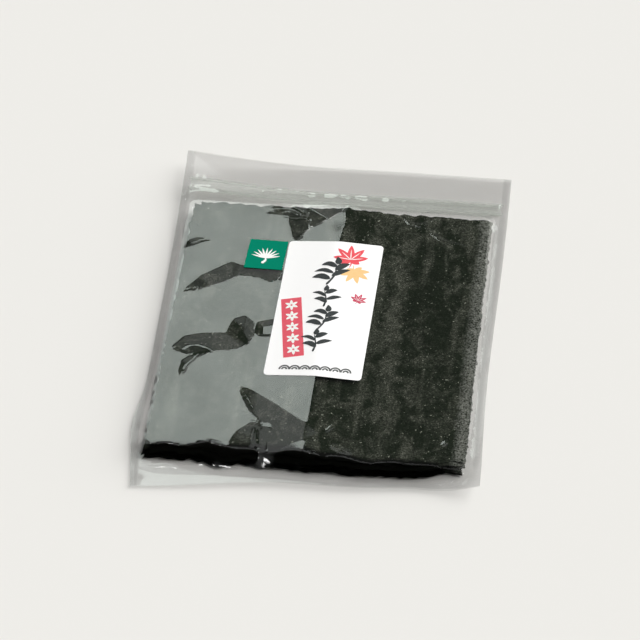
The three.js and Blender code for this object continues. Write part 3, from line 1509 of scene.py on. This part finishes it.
def leafy_sprig(leaves: int, lean: float) -> tuple[Stroke, ...]:
    """Draw a brush-painted sprig, one unit tall: a thin twig with fat leaves on both sides and at its top.

    Args:
        leaves: How many side leaves it has.
        lean: How far its top leans to the right.

    Returns:
        The strokes, about the sprig's middle.
    """
    foot, top = (-lean / 2 - 0.06, -0.5), (lean / 2, 0.26)
    twig = (foot, (0.05, -0.16), top)
    strokes = [Stroke(twig, 0.075, Ink.BRUSH, StrokeShape.BRUSH)]
    strokes.append(Stroke((top, (top[0] + 0.05, 0.38), (top[0] + 0.02, 0.54)), 0.19, Ink.BRUSH))
    for i in range(leaves):
        side = 1 if i % 2 else -1
        share = (i + 0.4) / leaves
        foot_x, foot_y = lerp(-lean / 2, lean / 2, share) + 0.03, lerp(-0.34, 0.22, share)
        reach = 0.5 - 0.14 * share + 0.05 * (i % 3)
        bend = (foot_x + side * reach * 0.5, foot_y + 0.15)
        tip = (foot_x + side * reach, foot_y + 0.12 + 0.1 * (i % 2))
        strokes.append(Stroke(((foot_x, foot_y), bend, tip), 0.2 - 0.03 * (i % 3), Ink.BRUSH))
    return tuple(strokes)


def wave_crest(ink: Ink) -> tuple[Stroke, ...]:
    """Draw two nested arcs, one unit wide, as in the old wave pattern.

    Args:
        ink: Colour of the arcs.

    Returns:
        The strokes, about the middle of the arcs.
    """
    strokes = []
    for size in (0.5, 0.24):
        arc = tuple((size * math.cos(a), size * math.sin(a)) for a in np.linspace(0, math.pi, 7))
        strokes.append(Stroke(arc, 0.18, ink, StrokeShape.BAR))
    return tuple(strokes)


def maple_leaf(ink: Ink, veins: bool) -> tuple[Stroke, ...]:
    """Draw a seven-lobed maple leaf, about two units across, its lobes fanned round the stalk.

    Args:
        ink: Colour of the leaf.
        veins: Whether pale veins are drawn on it.

    Returns:
        The strokes, about the place where the lobes meet.
    """
    strokes = []
    for angle, reach in ((90, 1.0), (48, 1.0), (132, 1.0), (10, 0.9), (170, 0.9), (-32, 0.55), (212, 0.55)):
        tip_x, tip_y = turned(reach, 0.0, angle)
        back_x, back_y = turned(-0.12, 0.0, angle)
        strokes.append(Stroke(((back_x, back_y), (tip_x * 0.5, tip_y * 0.5), (tip_x, tip_y)), 0.36, ink))
        if veins and reach > 0.8:
            vein = ((0.0, 0.0), (tip_x * 0.72, tip_y * 0.72))
            strokes.append(Stroke(vein, 0.05, Ink.WHITE))
    strokes.append(Stroke(((0, 0), (0.04, -0.3), (-0.05, -0.6)), 0.07, ink))
    return tuple(strokes)


def rosette(petals: int, ink: Ink) -> tuple[Stroke, ...]:
    """Draw a plain flower, one unit across, of pointed petals round its middle.

    Args:
        petals: How many petals it has.
        ink: Colour of the flower.

    Returns:
        The strokes, about its middle.
    """
    strokes = []
    for i in range(petals):
        tip_x, tip_y = turned(0.5, 0.0, 90 + i * 360 / petals)
        strokes.append(Stroke(((tip_x * 0.12, tip_y * 0.12), (tip_x, tip_y)), 0.22, ink))
    return tuple(strokes)


def pine_fan(ink: Ink) -> tuple[Stroke, ...]:
    """Draw a fan of pine needles on a short twig, about one unit across.

    Args:
        ink: Colour of the fan.

    Returns:
        The strokes, about its middle.
    """
    strokes = [Stroke(((-0.1, -0.5), (0.02, -0.34), (0.0, -0.2)), 0.13, ink, StrokeShape.BRUSH)]
    for angle in range(10, 171, 20):
        tip_x, tip_y = turned(0.62, 0.0, angle)
        strokes.append(Stroke(((0.0, -0.22), (tip_x * 0.9, tip_y * 0.75 - 0.16)), 0.075, ink))
    return tuple(strokes)


def label_print() -> tuple[Stroke, ...]:
    """Lay out the label: four brush sprigs, a red band with flowers, three leaves and a row of waves.

    Returns:
        The strokes, about the label's middle.
    """
    strokes: list[Stroke] = []
    sprigs = ((1, 31.5, 23, 5, 0.25, 8), (-0.5, 9.5, 18, 4, -0.2, -6), (0.5, -9, 20, 5, 0.2, 4),
              (-2, -28.5, 19, 4, -0.15, -4))  # fmt: skip
    for x, y, size, leaves, lean, turn in sprigs:
        strokes += [moved(s, x, y, size, turn) for s in leafy_sprig(leaves, lean)]
    band_x, band_y, band_width, band_length, band_turn = -17.9, -17.5, 13.0, 50.5, 9.9
    band = Stroke(((0, -band_length / 2), (0, band_length / 2)), band_width, Ink.RED, StrokeShape.BAR)
    strokes.append(moved(band, band_x, band_y, 1, band_turn))
    for i in range(5):
        off_x, off_y = turned(0.0, (2 - i) * band_length * 0.19, band_turn)
        strokes += [moved(s, band_x + off_x, band_y + off_y, 9, band_turn) for s in rosette(6, Ink.WHITE)]
    leaves = ((11, 43, 12.5, 4, Ink.LEAF_RED, True), (15, 33, 10.5, 196, Ink.PEACH, False),
              (20, 8.5, 6, -20, Ink.CRIMSON, True))  # fmt: skip
    for x, y, size, turn, ink, veins in leaves:
        strokes += [moved(s, x, y, size, turn) for s in maple_leaf(ink, veins)]
    for i in range(7):
        strokes += [moved(s, -18.0 + i * 6.4, -53.0, 6.2, 0) for s in wave_crest(Ink.GREY)]
    return tuple(strokes)


# ---------------------------------------------------------------- studio


@dataclass
class Studio:
    """Pale floor, a large key light from the right, a bright card that the film mirrors, and the camera."""

    form: BagForm
    target: Point = (-6.2, 6.7)
    elevation: float = 46.9
    azimuth: float = 9.6
    roll: float = -4.7
    distance: float = 1934.4
    lens: float = 172.4
    floor_colour: str = "#E6E5E2"
    ambient: float = 0.15
    key_direction: tuple[float, float, float] = (0.76, 0.38, 0.52)
    key_spread: float = 60.0
    key_strength: float = 5.66
    glint_direction: tuple[float, float, float] = (0.355, 0.204, 0.912)
    glint_distance: float = 1.6
    glint_size: float = 0.08
    glint_power: float = 0.3
    rim_direction: tuple[float, float, float] = (-0.27, 0.15, 0.95)
    rim_size: float = 0.05
    rim_power: float = 0.08
    card_colour: tuple[float, float, float, float] = (0.96, 1.05, 0.99, 1.0)
    card_radiance: float = 1.78
    card_unevenness: float = 0.12
    card_cloud: float = 30.0
    card_distance: float = 1.5
    card_left: float = -0.36
    card_right: float = 0.015
    card_low: float = -0.112
    card_slant: float = 0.4
    card_high: float = 0.14
    # The room that the film mirrors: for each wall its axis, where it starts and is full, and its brightness.
    room_level: float = 0.03
    walls: tuple[tuple[int, float, float, float], ...] = (
        (0, -0.19, -0.24, 0.42),
        (0, -0.50, -0.65, 0.4),
        (2, 0.80, 0.83, 0.36),
        (0, 0.30, 0.50, 0.1),
        (2, 0.70, 0.67, 0.12),
    )
    dark_top: Point = (0.96, 0.90)
    dark_near: Point = (-0.02, 0.12)

    @property
    def back(self) -> Vector:
        """Direction from the bag to the camera."""
        e, a = math.radians(self.elevation), math.radians(self.azimuth)
        return Vector((math.sin(a) * math.cos(e), -math.cos(a) * math.cos(e), math.sin(e)))

    def camera(self) -> None:
        """Set the camera at the photograph's place, turned a little about its own axis."""
        data = bpy.data.cameras.new("camera")
        data.lens, data.sensor_width = self.lens, 36.0
        camera = bpy.data.objects.new("camera", data)
        bpy.context.scene.collection.objects.link(camera)
        back = self.back
        right = Vector((math.cos(math.radians(self.azimuth)), math.sin(math.radians(self.azimuth)), 0))
        up = back.cross(right)
        r = math.radians(self.roll)
        turned_right = right * math.cos(r) + up * math.sin(r)
        turned_up = up * math.cos(r) - right * math.sin(r)
        place = Vector(self.form.to_frame(*self.target, 0.0)) + back * self.distance * MM
        axes = Matrix((turned_right, turned_up, back)).transposed()
        camera.matrix_world = Matrix.Translation(place) @ axes.to_4x4()
        bpy.context.scene.camera = camera

    def floor(self) -> None:
        """Lay the pale floor just under the bag."""
        deselect()
        bpy.ops.mesh.primitive_plane_add(size=12, location=(0, 0, -0.0001))
        floor = bpy.context.object
        floor.name = "studio_floor"
        paper = CoatedPaper("studio_paper", self.floor_colour, self.floor_colour, roughness=0.9)
        floor.data.materials.append(paper.material())

    def lamp(
        self, name: str, kind: str, direction: tuple[float, float, float], distance: float, power: float
    ) -> bpy.types.Object:
        """Hang a lamp that shines on the bag.

        Args:
            name: The lamp's name.
            kind: Blender's name of the lamp type.
            direction: Direction from the bag to the lamp.
            distance: Metres from the bag.
            power: Blender's energy value.

        Returns:
            The lamp object.
        """
        data = bpy.data.lights.new(name, kind)
        data.energy = power
        light = bpy.data.objects.new(name, data)
        bpy.context.scene.collection.objects.link(light)
        away = Vector(direction).normalized()
        light.location = away * distance
        light.rotation_euler = away.to_track_quat("Z", "Y").to_euler()
        return light

    def lamps(self) -> None:
        """Hang a wide soft key at the right, and two small lamps high up that the creases mirror."""
        key = self.lamp("key", "SUN", self.key_direction, 2.0, self.key_strength)
        key.data.angle = math.radians(self.key_spread)
        key.data.color = (1.0, 0.995, 0.98)
        key.visible_glossy = False
        for name, direction, size, power in (
            ("glint", self.glint_direction, self.glint_size, self.glint_power),
            ("rim", self.rim_direction, self.rim_size, self.rim_power),
        ):
            small = self.lamp(name, "AREA", direction, self.glint_distance, power)
            small.data.size = size
            small.visible_diffuse = False

    def card(self) -> None:
        """Set up the bright card behind the bag. The front film mirrors it, left of the crown."""
        ahead = Vector((-self.back.x, -self.back.y, self.back.z))
        side = Vector((0, 0, 1)).cross(ahead).normalized() * -1
        rise = side.cross(ahead)
        middle = Vector(self.form.to_frame(0.0, 0.0, self.form.stack_top)) + ahead * self.card_distance
        deselect()
        bpy.ops.mesh.primitive_plane_add(size=1)
        card = bpy.context.object
        card.name = "mirror_card"
        low_left = self.card_low - self.card_slant * (self.card_right - self.card_left)
        corners = [
            middle + side * (self.card_left if p.x < 0 else self.card_right)
            + rise * (self.card_high if p.y > 0 else low_left if p.x < 0 else self.card_low)
            for p in (vertex.co for vertex in card.data.vertices)
        ]  # fmt: skip
        set_points(card, np.array([list(c) for c in corners]))
        material, tree = new_material("card_glow")
        place = add_node(tree, "TexCoord", out="Object")
        cloud = add_node(
            tree, "TexNoise", {"Vector": place, "Scale": per_metre(self.card_cloud), "Detail": 3.0}
        )
        least, most = (self.card_radiance * (1 + side * self.card_unevenness) for side in (-1, 1))
        brightness = add_node(tree, "MapRange", (cloud, 0.3, 0.7, least, most))
        glow = add_node(tree, "Emission", (self.card_colour, brightness))
        add_node(tree, "OutputMaterial", (glow,))
        card.data.materials.append(material)
        card.visible_camera = card.visible_diffuse = card.visible_shadow = card.visible_transmission = False

    def surroundings(self) -> None:
        """Light the scene evenly from all round, with dim walls where the film mirrors the room."""
        world = bpy.data.worlds.new("studio")
        bpy.context.scene.world = world
        world.use_nodes = True
        tree = world.node_tree
        tree.nodes.clear()
        toward = add_node(tree, "TexCoord", out="Generated")
        axes = [add_node(tree, "SeparateXYZ", (toward,), out=axis) for axis in range(3)]
        level = self.room_level
        for axis, start, full, strength in self.walls:
            wall = add_node(tree, "MapRange", (axes[axis], start, full, 0.0, strength))
            level = add_node(tree, "Math", (level, wall), operation="MAXIMUM")
        for axis, ends in ((1, self.dark_near), (2, self.dark_top)):
            mask = add_node(tree, "MapRange", (axes[axis], *ends))
            level = add_node(tree, "Math", (level, mask), operation="MULTIPLY")
        room = add_node(tree, "Background", ((0.97, 1.0, 0.98, 1.0), level))
        light = add_node(tree, "Background", ((1.0, 0.998, 0.985, 1.0), self.ambient))
        mirrored = add_node(tree, "LightPath", out="Is Glossy Ray")
        add_node(tree, "OutputWorld", (add_node(tree, "MixShader", (mirrored, light, room)),))

    def build(self) -> None:
        """Set up the floor, the lights and the camera."""
        scene = bpy.context.scene
        scene.view_settings.view_transform = "Standard"
        scene.cycles.transparent_max_bounces = 32  # each film is crossed by two faces, both ways
        self.floor()
        self.lamps()
        self.card()
        self.surroundings()
        self.camera()


# ---------------------------------------------------------------- the whole


def main() -> None:
    logging.basicConfig(level=logging.INFO, format="%(message)s")
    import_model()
    form = BagForm()
    Studio(form).build()

    film = PolypropyleneFilm().material()
    hand_over(BackFilm(form).build(), film, "film")
    seaweed = PressedSeaweed().material()
    for sheet in SeaweedStack(form).build():
        hand_over(sheet, seaweed, "seaweed")
    zip_plastic = ExtrudedZip().material()
    for track in ZipTracks(form).build():
        hand_over(track, zip_plastic, "film")
    hand_over(FrontFilm(form).build(), film, "film", "bag")

    StickerPaper(
        form,
        name="label",
        x=-2.8,
        y=7.0,
        width=61.0,
        length=116.0,
        turn=-1.7,
        corner=2.5,
        finish=CoatedPaper("label_paper", "#FDFDFD", "#FAFAFA"),
        slot="label_paper",
        strokes=label_print(),
    ).build()
    StickerPaper(
        form,
        name="square_sticker",
        x=-45.4,
        y=53.2,
        width=24.8,
        length=25.4,
        turn=-3.2,
        corner=0.4,
        finish=CoatedPaper("green_sticker_paper", "#008267", "#007B61"),
        slot="sticker_paper",
        strokes=tuple(moved(stroke, 0, 0.5, 17, 0) for stroke in pine_fan(Ink.WHITE)),
    ).build()


if __name__ == "__main__":
    main()
